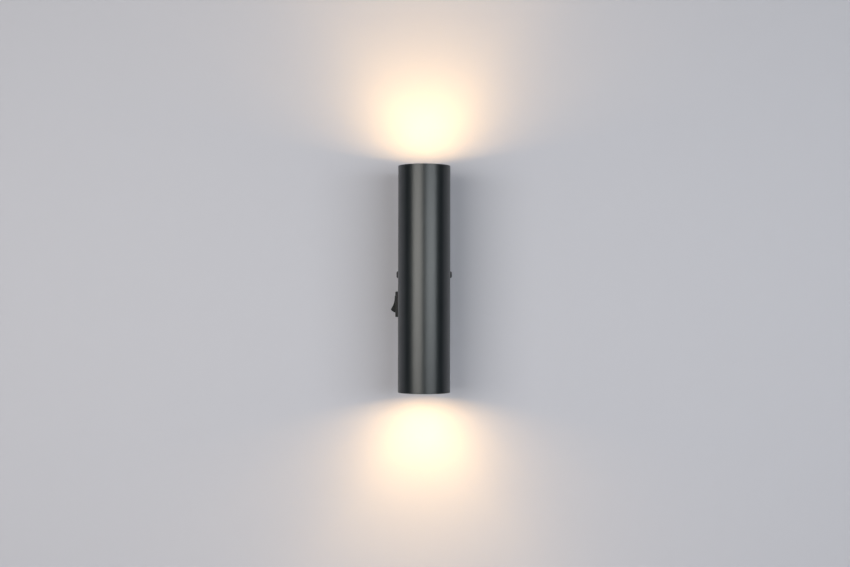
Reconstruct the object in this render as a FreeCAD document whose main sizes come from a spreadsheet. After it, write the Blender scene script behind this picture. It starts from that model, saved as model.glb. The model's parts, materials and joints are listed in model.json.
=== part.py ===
import FreeCAD, Part
import math
import os

import Sketcher
from FreeCAD import Placement, Rotation, Vector

# An up-and-down wall light, in millimetres. The wall is the plane Y = 0 and the light stands out
# from it towards -Y, with +Z up. The origin is midway between the two wall screw slots.

SIZES = (
    # tube
    ("tube_length", "260"),
    ("tube_radius", "30"),
    ("tube_wall", "1.5"),
    ("rim_round", "0.4"),
    # box between the tube and the wall
    ("box_half_width", "30.6"),
    ("box_height", "110"),
    ("box_depth", "40"),
    ("box_sheet", "1.2"),
    ("box_corner", "1"),
    # strip that is screwed to the wall, with its lugs and its tongue for the earth
    ("bracket_sheet", "1.5"),
    ("bracket_inset", "10"),
    ("bracket_width", "24"),
    ("arm_height", "18"),
    ("lug_length", "28"),
    ("slot_spacing", "60"),
    ("slot_width", "4.5"),
    ("slot_length", "10"),
    ("cable_hole_radius", "7"),
    ("tongue_length", "13"),
    ("tongue_width", "14"),
    # side screws
    ("side_screw_up", "6"),
    ("side_screw_out", "20"),
    ("side_screw_length", "9"),
    # metric fasteners
    ("large_shank", "2"),
    ("large_head", "4"),
    ("large_head_height", "2.2"),
    ("large_nut", "3.5"),
    ("large_nut_height", "3.2"),
    ("small_shank", "1.5"),
    ("small_head", "2.75"),
    ("small_head_height", "1.8"),
    ("small_nut", "2.75"),
    ("small_nut_height", "2.4"),
    ("recess_width", "0.9"),
    ("recess_depth", "1.1"),
    # clearances
    ("fit", "0.05"),
    ("gap", "0.3"),
    ("screw_clearance", "0.2"),
    ("overrun", "1"),
    # what holds the tube and the lamp holders
    ("tube_screw_up", "20"),
    ("saddle_width", "12"),
    ("saddle_thickness", "2.5"),
    ("bushing_radius", "5"),
    ("bushing_bore", "3.6"),
    ("bushing_lip", "1.2"),
    ("holder_sheet", "1.2"),
    ("holder_strip", "16"),
    ("holder_plate_width", "30"),
    ("holder_plate_front", "15"),
    # lamp holder
    ("holder_radius", "14"),
    ("holder_height", "18"),
    ("holder_screw_offset", "9.6"),
    ("twist", "25"),
    # lamp
    ("lamp_recess", "11"),
    ("lamp_radius", "25"),
    ("lamp_rim", "7"),
    ("lamp_lip", "1.4"),
    ("lamp_back_radius", "15"),
    ("lamp_body_length", "39"),
    ("lamp_bowl_depth", "11"),
    ("lens_seat", "4.5"),
    ("lens_thickness", "3"),
    ("board_thickness", "1.6"),
    ("neck_radius", "12"),
    ("neck_length", "11"),
    ("pin_spacing", "10"),
    ("pin_radius", "1.25"),
    ("pin_head_radius", "2.4"),
    ("pin_head_length", "2.6"),
    ("pin_length", "7"),
    # switch
    ("switch_rise", "26"),
    ("switch_out", "23"),
    ("bezel_length", "30"),
    ("bezel_width", "14"),
    ("bezel_height", "3.4"),
    ("bezel_corner", "1"),
    ("switch_length", "27.5"),
    ("switch_width", "12.5"),
    ("switch_depth", "18.6"),
    ("switch_floor", "2"),
    ("rocker_width", "10"),
    ("rocker_reach", "10.4"),
    ("rocker_rise", "6.3"),
    ("rocker_hollow", "25"),
    ("rocker_tilt", "16.5"),
    ("pivot_depth", "3"),
    ("trunnion_radius", "1.3"),
    ("plunger_radius", "0.9"),
    ("plunger_reach", "6"),
    ("stem_radius", "1.9"),
    ("stem_length", "4"),
    ("stem_floor", "0.5"),
    ("plunger_seat", "1.2"),
    ("spring_wire", "0.15"),
    ("blade_thickness", "0.5"),
    ("blade_length", "13"),
    ("blade_width", "4.6"),
    ("blade_tilt", "8.25"),
    ("terminal_thickness", "0.8"),
    ("terminal_spacing", "8"),
    ("terminal_reach", "6"),
    # terminal block
    ("block_gap", "2"),
    ("block_height", "18"),
    ("block_depth", "14"),
    ("way_pitch", "11"),
    ("sleeve_radius", "2.9"),
    ("sleeve_wall", "0.5"),
    ("sleeve_inset", "3"),
    ("block_edge", "1.6"),
    ("clamp_screw_inset", "5"),
    # leads
    ("lead_radius", "1.1"),
    ("lane_gap", "0.2"),
    ("tube_lead_turn", "12"),
    ("switch_lane", "10"),
    ("supply_lane", "10"),
    ("earth_lane", "10"),
    ("earth_tag_radius", "4"),
    ("earth_tag_sheet", "0.8"),
    ("earth_screw_length", "10"),
    ("earth_tag_reach", "9"),
)


class Size:
    """A length worked out from the sheet: its value, and the expression that keeps it bound."""

    def __init__(self, value, text):
        self.value = value
        self.text = text

    def __add__(self, other):
        other = as_size(other)
        return Size(self.value + other.value, f"({self.text} + {other.text})")

    def __sub__(self, other):
        other = as_size(other)
        return Size(self.value - other.value, f"({self.text} - {other.text})")

    def __mul__(self, other):
        other = as_size(other)
        return Size(self.value * other.value, f"({self.text} * {other.text})")

    def __truediv__(self, other):
        other = as_size(other)
        return Size(self.value / other.value, f"({self.text} / {other.text})")

    def __neg__(self):
        return Size(-self.value, f"(-{self.text})")

    def __radd__(self, other):
        return as_size(other) + self

    def __rsub__(self, other):
        return as_size(other) - self

    def __rmul__(self, other):
        return as_size(other) * self

    def __float__(self):
        return float(self.value)


def as_size(number):
    """Turn a plain number into a Size; a Size stays as it is."""
    if isinstance(number, Size):
        return number
    return Size(number, f"({number})")


def root(square):
    """Square root of a Size."""
    return Size(math.sqrt(square.value), f"sqrt({square.text})")


def cosine(angle):
    """Cosine of a Size in degrees."""
    return Size(math.cos(math.radians(angle.value)), f"cos({angle.text} * 1 deg)")


def sine(angle):
    """Sine of a Size in degrees."""
    return Size(math.sin(math.radians(angle.value)), f"sin({angle.text} * 1 deg)")


document = FreeCAD.newDocument("tube_wall_light")
sheet = document.addObject("Spreadsheet::Sheet", "dims")
for row, (alias, number) in enumerate(SIZES, start=1):
    sheet.set(f"A{row}", alias)
    sheet.set(f"B{row}", number)
    sheet.setAlias(f"B{row}", alias)
document.recompute()


class Dimensions:
    """The sheet's cells by name, each as a Size."""

    def __getattr__(self, alias):
        return Size(float(sheet.get(alias)), f"dims.{alias}")


d = Dimensions()
sub_parts = []


# Helpers -----------------------------------------------------------------------------------------

X_AXIS = Vector(1, 0, 0)
Y_AXIS = Vector(0, 1, 0)
Z_AXIS = Vector(0, 0, 1)
HEAD_SKIRT = 0.6        # straight part of a screw head, as a share of its height
HEAD_CROWN = 0.72       # radius of the top of a screw head, in head radii
RECESS_ARM = 0.55       # reach of a cross recess, in head radii
NUT_HALF_SIDE = 30      # degrees from the middle of a nut's flat to its corner
ARC_SHARE = 0.45        # how much of a lead's run its arc may take
ALONG = {"x": Rotation(Y_AXIS, 90), "y": Rotation(X_AXIS, -90), "z": Rotation()}


def bind(target, prop, size):
    """Bind one property of an object to an expression on the sheet."""
    target.setExpression(prop, as_size(size).text)


def move(target, place, turn=None):
    """Set an object's turn, and bind where it stands."""
    target.Placement = Placement(Vector(), turn or Rotation())
    for axis, size in zip("xyz", place):
        bind(target, f"Placement.Base.{axis}", size)
    return target


def block(low, high):
    """A box between two corners."""
    made = document.addObject("Part::Box", "box")
    for prop, start, end in zip(("Length", "Width", "Height"), low, high):
        bind(made, prop, as_size(end) - start)
    return move(made, low)


def rod(radius, length, start, along="z"):
    """A round rod from its start point along +X, +Y or +Z."""
    made = document.addObject("Part::Cylinder", "rod")
    bind(made, "Radius", radius)
    bind(made, "Height", length)
    return move(made, start, ALONG[along])


def cone(radius, end_radius, length, start, along="z"):
    """A cut-off cone from its start point along +X, +Y or +Z."""
    made = document.addObject("Part::Cone", "cone")
    bind(made, "Radius1", radius)
    bind(made, "Radius2", end_radius)
    bind(made, "Height", length)
    return move(made, start, ALONG[along])


def cut(base, *tools):
    """Take one or more solids out of a solid."""
    made = document.addObject("Part::Cut", "cut")
    made.Base = base
    made.Tool = tools[0] if len(tools) == 1 else join(*tools)
    return made


def join(*pieces):
    """Fuse solids into one."""
    made = document.addObject("Part::MultiFuse", "join")
    made.Shapes = list(pieces)
    made.Refine = True
    return made


def together(pieces):
    """Several separate solids held in one node."""
    made = document.addObject("Part::Compound", "group")
    made.Links = list(pieces)
    return made


def keep(label, made):
    """Name a finished sub-part, so that it is written out."""
    made.Label = label
    sub_parts.append(made)
    return made


def origin_plane(body, role):
    """One of a body's own three planes."""
    return next(item for item in body.Origin.OriginFeatures if item.Role == role)


def circle(centre, radius):
    """A round loop for a sketch."""
    return ("circle", centre, radius)


def rectangle(low, high):
    """A four-cornered loop for a sketch."""
    return [low, (high[0], low[1]), high, (low[0], high[1])]


def arc_midpoint(start, end, radius):
    """Middle of the arc of a signed radius from start to end; a positive one bulges to the right."""
    run = end - start
    half = run.Length / 2
    rise = abs(radius) - math.sqrt(max(radius * radius - half * half, 0))
    side = Vector(run.y, -run.x, 0).normalize()
    return (start + end) * 0.5 + side * math.copysign(rise, radius)


def pin_point(sketch, edge, end, point):
    """Bind one end of a sketch edge to its two coordinates."""
    for kind, size in zip(("DistanceX", "DistanceY"), point):
        constraint = sketch.addConstraint(
            Sketcher.Constraint(kind, -1, 1, edge, end, float(as_size(size))))
        sketch.setExpression(f"Constraints[{constraint}]", as_size(size).text)


def draw_circle(sketch, centre, radius):
    """A circle bound to its centre and radius."""
    middle = Vector(float(as_size(centre[0])), float(as_size(centre[1])), 0)
    edge = sketch.addGeometry(Part.Circle(middle, Z_AXIS, float(as_size(radius))))
    constraint = sketch.addConstraint(Sketcher.Constraint("Radius", edge, float(as_size(radius))))
    sketch.setExpression(f"Constraints[{constraint}]", as_size(radius).text)
    pin_point(sketch, edge, 3, centre)


def draw_outline(sketch, corners):
    """A closed outline. A corner's third value is the signed radius of the arc to the next one."""
    places = [Vector(float(as_size(corner[0])), float(as_size(corner[1])), 0) for corner in corners]
    edges = []
    for index, corner in enumerate(corners):
        start, end = places[index], places[(index + 1) % len(places)]
        if len(corner) == 2:
            edges.append((sketch.addGeometry(Part.LineSegment(start, end)), 1))
            continue
        radius = float(as_size(corner[2]))
        curve = Part.Arc(start, arc_midpoint(start, end, radius), end)
        edge = sketch.addGeometry(curve)
        constraint = sketch.addConstraint(Sketcher.Constraint("Radius", edge, abs(radius)))
        sketch.setExpression(f"Constraints[{constraint}]", f"abs({as_size(corner[2]).text})")
        first = 1 if sketch.getPoint(edge, 1).distanceToPoint(start) < 1e-6 else 2
        edges.append((edge, first))
    for index, (edge, first) in enumerate(edges):
        pin_point(sketch, edge, first, corners[index])
        following, start = edges[(index + 1) % len(edges)]
        sketch.addConstraint(Sketcher.Constraint("Coincident", edge, 3 - first, following, start))


def sketch_on(body, name, plane, loops, start=0):
    """A sketch on one of the body's planes, a bound distance along that plane's normal."""
    sketch = body.newObject("Sketcher::SketchObject", name)
    sketch.AttachmentSupport = (origin_plane(body, plane), [""])
    sketch.MapMode = "FlatFace"
    bind(sketch, "AttachmentOffset.Base.z", start)
    for loop in loops:
        if loop[0] == "circle":
            draw_circle(sketch, loop[1], loop[2])
        else:
            draw_outline(sketch, loop)
    return sketch


def pad(body, name, plane, loops, start, length):
    """Material along the plane's normal."""
    made = body.newObject("PartDesign::Pad", name)
    made.Profile = sketch_on(body, f"{name}_sketch", plane, loops, start)
    bind(made, "Length", length)
    return made


def pocket(body, name, plane, loops, start, length):
    """A cut along the plane's normal."""
    made = body.newObject("PartDesign::Pocket", name)
    made.Profile = sketch_on(body, f"{name}_sketch", plane, loops, start)
    made.Reversed = True
    bind(made, "Length", length)
    return made


def revolve(body, name, outline):
    """An outline in the XZ plane turned about Z."""
    made = body.newObject("PartDesign::Revolution", name)
    made.Profile = sketch_on(body, f"{name}_sketch", "XZ_Plane", [outline])
    made.ReferenceAxis = (origin_plane(body, "Z_Axis"), [""])
    made.Angle = 360
    return made


def round_edges(body, name, chosen, radius):
    """Fillet those edges of the body's last feature that the test picks out."""
    document.recompute()
    base = body.Tip
    edges = [f"Edge{i}" for i, edge in enumerate(base.Shape.Edges, start=1) if chosen(edge.BoundBox)]
    made = body.newObject("PartDesign::Fillet", name)
    made.Base = (base, edges)
    bind(made, "Radius", radius)
    return made


def new_body(name):
    """An empty body for sketches and features."""
    return document.addObject("PartDesign::Body", name)


def screw(shank, head, head_height, length, seat, turn):
    """A pan head screw: its seat is under the head, and the shank runs up its own axis."""
    skirt_height = head_height * HEAD_SKIRT
    top = cone(head, head * HEAD_CROWN, head_height - skirt_height, (0, 0, -skirt_height), "z")
    top.Placement.Rotation = Rotation(X_AXIS, 180)
    skirt = rod(head, skirt_height, (0, 0, -skirt_height))
    stem = rod(shank, length, (0, 0, 0))
    arm = head * RECESS_ARM
    half = d.recess_width / 2
    bars = (
        block((-arm, -half, -head_height), (arm, half, d.recess_depth - head_height)),
        block((-half, -arm, -head_height), (half, arm, d.recess_depth - head_height)),
    )
    return move(cut(join(top, skirt, stem), *bars), seat, turn)


def nut(corner_radius, height, bore, start, turn=None):
    """A hexagon nut from its seat, along its axis."""
    solid = document.addObject("Part::Prism", "nut")
    solid.Polygon = 6
    bind(solid, "Circumradius", corner_radius / cosine(as_size(NUT_HALF_SIDE)))
    bind(solid, "Height", height)
    return move(cut(solid, rod(bore, height, (0, 0, 0))), start, turn or Rotation())


# Places worked out from the sheet ----------------------------------------------------------------

tube_y = -d.box_depth - d.tube_radius
tube_bore = d.tube_radius - d.tube_wall
tube_end = d.tube_length / 2
box_side = d.box_half_width
box_inner_side = box_side - d.box_sheet
box_top = d.box_height / 2
box_inner_front = -d.box_depth + d.box_sheet
lug_face = box_inner_side - d.gap
bracket_height = d.box_height - d.bracket_inset * 2
screw_hole = d.large_shank + d.screw_clearance
saddle_y = tube_y + tube_bore - d.saddle_thickness
strip_y = saddle_y - d.holder_sheet
earth_y = -(d.bracket_sheet + d.tongue_length) / 2
tongue_top = d.bracket_sheet - bracket_height / 2

lamp_face = tube_end - d.lamp_recess
lamp_back = lamp_face - d.lamp_body_length
lamp_base = lamp_back - d.neck_length
holder_top = lamp_base - d.gap
holder_bottom = holder_top - d.holder_height
plate_bottom = holder_bottom - d.holder_sheet
board_bottom = lamp_face - d.lamp_bowl_depth
pin_end = lamp_base - d.pin_length
post_length = pin_end - d.gap - holder_bottom - d.lead_radius * 2

switch_z = d.switch_rise - box_top
switch_y = -d.switch_out
pivot_x = -box_side - d.bezel_height + d.pivot_depth
terminal_end = -d.terminal_reach
line_z = switch_z
load_z = switch_z - d.terminal_spacing
blade_x = pivot_x + d.plunger_reach + d.gap + d.blade_thickness / 2
trunnion_reach = d.switch_width / 2 - d.gap
plunger_back = d.stem_length - d.plunger_seat

block_middle_y = box_inner_front + d.block_depth / 2
block_foot = d.tube_screw_up + d.large_head + d.block_gap
block_top = block_foot + d.block_height
way_bore = d.sleeve_radius - d.sleeve_wall
lead_lane = d.lead_radius + d.lane_gap

PITCHES = (-1, 0, 1)
SIDES = (-1, 1)


# Tube and box ------------------------------------------------------------------------------------

def make_tube():
    """A round tube, open at both ends, with holes in its back only."""
    body = new_body("tube")
    rings = [circle((0, tube_y), d.tube_radius), circle((0, tube_y), tube_bore)]
    pad(body, "wall", "XY_Plane", rings, -tube_end, d.tube_length)
    holes = [circle((0, side * d.tube_screw_up), screw_hole) for side in SIDES]
    holes.append(circle((0, 0), d.bushing_radius + d.fit))
    pocket(body, "back_holes", "XZ_Plane", holes, d.box_depth - d.gap, d.tube_wall + d.overrun * 2)
    rim = float(tube_end) - 1e-4
    round_edges(body, "rims", lambda box: min(abs(box.ZMin), abs(box.ZMax)) > rim, d.rim_round)
    return keep("tube", body)


def make_wall_box():
    """A folded sheet box, open towards the wall."""
    body = new_body("wall_box")
    outside = [rectangle((-box_side, -box_top), (box_side, box_top))]
    pad(body, "outside", "XZ_Plane", outside, 0, d.box_depth)
    wall_plane = -1e-4
    round_edges(body, "corners", lambda box: box.YMin < wall_plane, d.box_corner)
    low = (-box_inner_side, d.box_sheet - box_top)
    pocket(body, "inside", "XZ_Plane", [rectangle(low, (box_inner_side, box_top - d.box_sheet))],
           0, d.box_depth - d.box_sheet)
    holes = [circle((0, side * d.tube_screw_up), screw_hole) for side in SIDES]
    holes.append(circle((0, 0), d.bushing_radius + d.fit))
    holes.append(circle((d.way_pitch / 2, block_foot + d.block_height / 2), d.small_shank + d.fit))
    pocket(body, "front_holes", "XZ_Plane", holes,
           d.box_depth - d.box_sheet - d.overrun, d.box_sheet + d.overrun * 2)
    side_holes = [circle((-d.side_screw_out, d.side_screw_up), screw_hole)]
    pocket(body, "side_holes", "YZ_Plane", side_holes, -box_side - d.overrun, box_side * 2 + d.overrun * 2)
    half_y = d.switch_width / 2 + d.fit
    half_z = d.switch_length / 2 + d.fit
    cut_out = rectangle((switch_y - half_y, switch_z - half_z), (switch_y + half_y, switch_z + half_z))
    pocket(body, "switch_cut_out", "YZ_Plane", [cut_out],
           -box_side - d.overrun, d.box_sheet + d.overrun * 2)
    return keep("wall_box", body)


def make_wall_bracket():
    """A cross of sheet metal: slots up and down, a lug on each arm, a tongue at the foot."""
    body = new_body("wall_bracket")
    half = d.bracket_width / 2
    top = bracket_height / 2
    low = d.side_screw_up - d.arm_height / 2
    high = d.side_screw_up + d.arm_height / 2
    cross = [
        (-half, -top), (half, -top), (half, low), (lug_face, low), (lug_face, high), (half, high),
        (half, top), (-half, top), (-half, high), (-lug_face, high), (-lug_face, low), (-half, low),
    ]
    pad(body, "cross", "XZ_Plane", [cross], 0, d.bracket_sheet)
    inner = lug_face - d.bracket_sheet
    pad(body, "right_lug", "XZ_Plane", [rectangle((inner, low), (lug_face, high))], 0, d.lug_length)
    pad(body, "left_lug", "XZ_Plane", [rectangle((-lug_face, low), (-inner, high))], 0, d.lug_length)
    tongue = rectangle((-d.tongue_width / 2, -top), (d.tongue_width / 2, d.bracket_sheet - top))
    pad(body, "tongue", "XZ_Plane", [tongue], 0, d.tongue_length)
    half = d.slot_width / 2
    run = d.slot_length / 2 - half
    middles = [side * d.slot_spacing / 2 for side in SIDES]
    rounds = [circle((0, middle + side * run), half) for middle in middles for side in SIDES]
    rounds.append(circle((0, 0), d.cable_hole_radius))
    pocket(body, "slot_ends", "XZ_Plane", rounds, -d.overrun, d.bracket_sheet + d.overrun * 2)
    straights = [rectangle((-half, middle - run), (half, middle + run)) for middle in middles]
    pocket(body, "slot_middles", "XZ_Plane", straights, -d.overrun, d.bracket_sheet + d.overrun * 2)
    threads = [circle((-d.side_screw_out, d.side_screw_up), d.large_shank + d.fit)]
    pocket(body, "lug_threads", "YZ_Plane", threads, -lug_face - d.overrun, lug_face * 2 + d.overrun * 2)
    earth = [circle((0, earth_y), screw_hole)]
    pocket(body, "earth_hole", "XY_Plane", earth, -top - d.overrun, d.bracket_sheet + d.overrun * 2)
    return keep("wall_bracket", body)


def make_side_screws():
    """One screw through each side of the box into the bracket's lugs."""
    pair = [
        screw(d.large_shank, d.large_head, d.large_head_height, d.side_screw_length,
              (side * box_side, -d.side_screw_out, d.side_screw_up), Rotation(Y_AXIS, -side * 90))
        for side in SIDES
    ]
    return keep("side_screws", together(pair))


def make_tube_fixings():
    """Screws from the box into the tube, with curved saddles and nuts inside the tube."""
    heights = [side * d.tube_screw_up for side in SIDES]
    reach = box_inner_front - strip_y + d.large_nut_height + d.overrun
    facing = Rotation(X_AXIS, 90)
    screws = [screw(d.large_shank, d.large_head, d.large_head_height, reach,
                    (0, box_inner_front, z), facing) for z in heights]
    keep("tube_screws", together(screws))
    nuts = [nut(d.large_nut, d.large_nut_height, d.large_shank + d.fit, (0, strip_y, z), facing)
            for z in heights]
    keep("tube_nuts", together(nuts))
    half = d.saddle_width / 2
    saddles = []
    for z in heights:
        blank = block((-half, saddle_y, z - half), (half, -d.box_depth, z + half))
        inside = rod(tube_bore, d.saddle_width, (0, tube_y, z - half))
        rounded = document.addObject("Part::Common", "saddle")
        rounded.Base = blank
        rounded.Tool = inside
        saddles.append(cut(rounded, rod(screw_hole, d.box_depth, (0, saddle_y - d.overrun, z), "y")))
    keep("tube_saddles", together(saddles))


def make_wire_bushing():
    """A flanged sleeve that lines the hole from the box into the tube."""
    inner = box_inner_front + d.bushing_lip
    outer = tube_y + root(tube_bore * tube_bore - d.bushing_radius * d.bushing_radius) - d.bushing_lip
    sleeve = rod(d.bushing_radius, inner - outer, (0, outer, 0), "y")
    lip = rod(d.bushing_radius + d.bushing_lip, d.bushing_lip, (0, box_inner_front, 0), "y")
    bore = rod(d.bushing_bore, inner - outer + d.overrun * 2, (0, outer - d.overrun, 0), "y")
    return keep("wire_bushing", cut(join(sleeve, lip), bore))


# Lamp holders and lamps --------------------------------------------------------------------------
# These are made upright about their own axis. The lower ones are the same pieces turned over.

TURNED_OVER = {"upper": Rotation(), "lower": Rotation(X_AXIS, 180)}


def stand_in_tube(made, end):
    """Place a piece that was made about its own axis in the upper or lower half of the tube."""
    return move(made, (0, tube_y, 0), TURNED_OVER[end])


def make_holder_bracket(end):
    """A bent strip: its leg is clamped by a tube screw, its plate carries the lamp holder."""
    half = d.holder_strip / 2
    low = d.tube_screw_up - half
    leg = block((-half, strip_y, low), (half, saddle_y, holder_bottom))
    wide = d.holder_plate_width / 2
    plate = block((-wide, tube_y - d.holder_plate_front, plate_bottom),
                  (wide, tube_y + wide, holder_bottom))
    neck = block((-half, tube_y, plate_bottom), (half, saddle_y, holder_bottom))
    hole = rod(screw_hole, d.holder_sheet + d.overrun * 2, (0, strip_y - d.overrun, d.tube_screw_up), "y")
    window_half = d.pin_spacing / 2 + d.lead_radius * 2
    window = block((-window_half, tube_y - d.lead_radius * 2, plate_bottom - d.overrun),
                   (window_half, tube_y + d.lead_radius * 2, holder_bottom + d.overrun))
    holes = [rod(d.small_shank + d.screw_clearance, d.holder_sheet + d.overrun * 2,
                 (0, tube_y + side * d.holder_screw_offset, plate_bottom - d.overrun)) for side in SIDES]
    made = cut(join(leg, plate, neck), hole, window, *holes)
    turn = {"upper": Rotation(), "lower": Rotation(Y_AXIS, 180)}[end]
    return keep(f"{end}_holder_bracket", move(made, (0, 0, 0), turn))


def pin_path(side, half_width):
    """The outline that a pin sweeps as its lamp turns, with round ends."""
    radius = d.pin_spacing / 2
    outer = radius + half_width
    inner = radius - half_width
    across = cosine(d.twist)
    up = sine(d.twist)
    corners = [
        (outer, as_size(0), outer),
        (outer * across, outer * up, half_width),
        (radius * across - half_width * up, radius * up + half_width * across, half_width),
        (inner * across, inner * up, -inner),
        (inner, as_size(0), half_width),
        (radius, -half_width, half_width),
    ]
    return [(side * x, side * y, bulge) for x, y, bulge in corners]


def make_holder(end):
    """A ceramic lamp holder: narrow curved slots, wide where the pin heads go in."""
    body = new_body("lamp_holder")
    pad(body, "ceramic", "XY_Plane", [circle((0, 0), d.holder_radius)], holder_bottom, d.holder_height)
    head_room = pin_end - d.gap
    shelf = pin_end + d.pin_head_length + d.gap
    through = holder_top - shelf + d.overrun
    narrow = [pin_path(side, d.pin_radius + d.gap) for side in SIDES]
    pocket(body, "pin_slots", "XY_Plane", narrow, shelf, through)
    wide = [pin_path(side, d.pin_head_radius + d.gap) for side in SIDES]
    pocket(body, "head_slots", "XY_Plane", wide, head_room, shelf - head_room)
    radius = d.pin_spacing / 2
    entry = d.pin_head_radius + d.gap - d.fit
    entries = [circle((side * radius * cosine(d.twist), side * radius * sine(d.twist)), entry)
               for side in SIDES]
    pocket(body, "entries", "XY_Plane", entries, shelf, through)
    wires = [circle((side * radius, 0), d.lead_radius + d.gap) for side in SIDES]
    pocket(body, "wire_bores", "XY_Plane", wires,
           holder_bottom - d.overrun, head_room - holder_bottom + d.overrun)
    places = [(0, side * d.holder_screw_offset) for side in SIDES]
    bolts = [circle(place, d.small_shank + d.screw_clearance) for place in places]
    pocket(body, "screw_holes", "XY_Plane", bolts,
           holder_bottom - d.overrun, d.holder_height + d.overrun * 2)
    heads = [circle(place, d.small_head + d.gap) for place in places]
    depth = d.small_head_height + d.gap
    pocket(body, "screw_seats", "XY_Plane", heads, holder_top - depth, depth + d.overrun)
    return keep(f"{end}_holder", stand_in_tube(body, end))


def make_contacts(end):
    """Two contact posts under the pins, each fed by its lead."""
    radius = d.pin_spacing / 2
    foot = pin_end - d.gap - post_length
    pair = [rod(d.lead_radius, post_length, (side * radius, 0, foot)) for side in SIDES]
    return keep(f"{end}_contacts", stand_in_tube(together(pair), end))


def make_holder_fixings():
    """Screws and nuts that clamp each holder to its plate."""
    screws = []
    nuts = []
    seat = holder_top - d.gap - d.small_head_height
    length = seat - plate_bottom + d.small_nut_height + d.overrun
    for end in TURNED_OVER:
        for side in SIDES:
            y = side * d.holder_screw_offset
            made = screw(d.small_shank, d.small_head, d.small_head_height, length,
                         (0, y, seat), Rotation(X_AXIS, 180))
            screws.append(stand_in_tube(together([made]), end))
            made = nut(d.small_nut, d.small_nut_height, d.small_shank + d.fit,
                       (0, y, plate_bottom), Rotation(X_AXIS, 180))
            nuts.append(stand_in_tube(together([made]), end))
    keep("holder_screws", together(screws))
    keep("holder_nuts", together(nuts))


def make_lamp(end):
    """A spotlight lamp: housing, neck, board, front lens and two pins."""
    rim_low = lamp_face - d.lamp_rim
    inner = d.lamp_radius - d.lamp_lip
    seat = lamp_face - d.lens_seat
    bowl = inner - d.lamp_lip
    housing = new_body("lamp_housing")
    revolve(housing, "housing_turned", [
        (0, lamp_back), (d.lamp_back_radius, lamp_back), (d.lamp_radius, rim_low),
        (d.lamp_radius, lamp_face),
        (inner, lamp_face), (inner, seat), (bowl, seat), (bowl, board_bottom), (0, board_bottom),
    ])
    keep(f"{end}_lamp_housing", stand_in_tube(housing, end))
    neck = join(rod(d.neck_radius, d.neck_length / 2, (0, 0, lamp_base)),
                rod(d.lamp_back_radius, d.neck_length / 2, (0, 0, lamp_base + d.neck_length / 2)))
    radius = d.pin_spacing / 2
    sockets = [rod(d.pin_radius, d.neck_length / 2, (side * radius, 0, lamp_base)) for side in SIDES]
    keep(f"{end}_lamp_neck", stand_in_tube(cut(neck, *sockets), end))
    board = rod(bowl - d.gap, d.board_thickness, (0, 0, board_bottom))
    keep(f"{end}_lamp_board", stand_in_tube(together([board]), end))
    lens = join(rod(inner - d.fit, d.lens_thickness, (0, 0, seat)),
                rod(bowl - d.gap, seat - board_bottom - d.board_thickness - d.gap,
                    (0, 0, board_bottom + d.board_thickness + d.gap)))
    keep(f"{end}_lamp_lens", stand_in_tube(lens, end))
    pins = []
    for side in SIDES:
        shank = rod(d.pin_radius, d.pin_length + d.neck_length / 2, (side * radius, 0, pin_end))
        head = rod(d.pin_head_radius, d.pin_head_length, (side * radius, 0, pin_end))
        pins.append(join(shank, head))
    keep(f"{end}_lamp_pins", stand_in_tube(together(pins), end))


# Switch ------------------------------------------------------------------------------------------

def make_switch_body():
    """A snap-in switch: raised bezel, housing behind it, and a cavity for the rocker."""
    body = new_body("switch_body")
    half_y = d.bezel_width / 2
    half_z = d.bezel_length / 2
    face = -box_side - d.bezel_height
    bezel = rectangle((switch_y - half_y, switch_z - half_z), (switch_y + half_y, switch_z + half_z))
    pad(body, "bezel", "YZ_Plane", [bezel], face, d.bezel_height)
    outside = float(face) + 1e-4
    round_edges(body, "bezel_corners", lambda box: box.XMin < outside, d.bezel_corner)
    half_y = d.switch_width / 2
    half_z = d.switch_length / 2
    housing = rectangle((switch_y - half_y, switch_z - half_z), (switch_y + half_y, switch_z + half_z))
    pad(body, "housing", "YZ_Plane", [housing], -box_side, d.switch_depth)
    room_y = d.rocker_width / 2 + d.gap
    room_z = d.rocker_reach + d.gap
    room = rectangle((switch_y - room_y, switch_z - room_z), (switch_y + room_y, switch_z + room_z))
    floor = d.switch_depth - d.switch_floor - box_side
    pocket(body, "cavity", "YZ_Plane", [room], face - d.overrun, floor - face + d.overrun)
    bearing = [circle((pivot_x, switch_z), d.trunnion_radius + d.fit)]
    reach = trunnion_reach + d.fit * 2
    pocket(body, "bearings", "XZ_Plane", bearing, d.switch_out - reach, reach * 2)
    tab_y = d.blade_width / 2 + d.fit
    tab_z = d.terminal_thickness / 2 + d.fit
    slots = [rectangle((switch_y - tab_y, z - tab_z), (switch_y + tab_y, z + tab_z))
             for z in (line_z, load_z)]
    pocket(body, "terminal_slots", "YZ_Plane", slots, floor - d.overrun, d.switch_floor + d.overrun * 2)
    return keep("switch_body", body)


def at_pivot(made):
    """Stand a rocker piece at the pivot, tilted so that its lower end is raised."""
    return move(made, (pivot_x, switch_y, switch_z), Rotation(Y_AXIS, float(d.rocker_tilt)))


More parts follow.
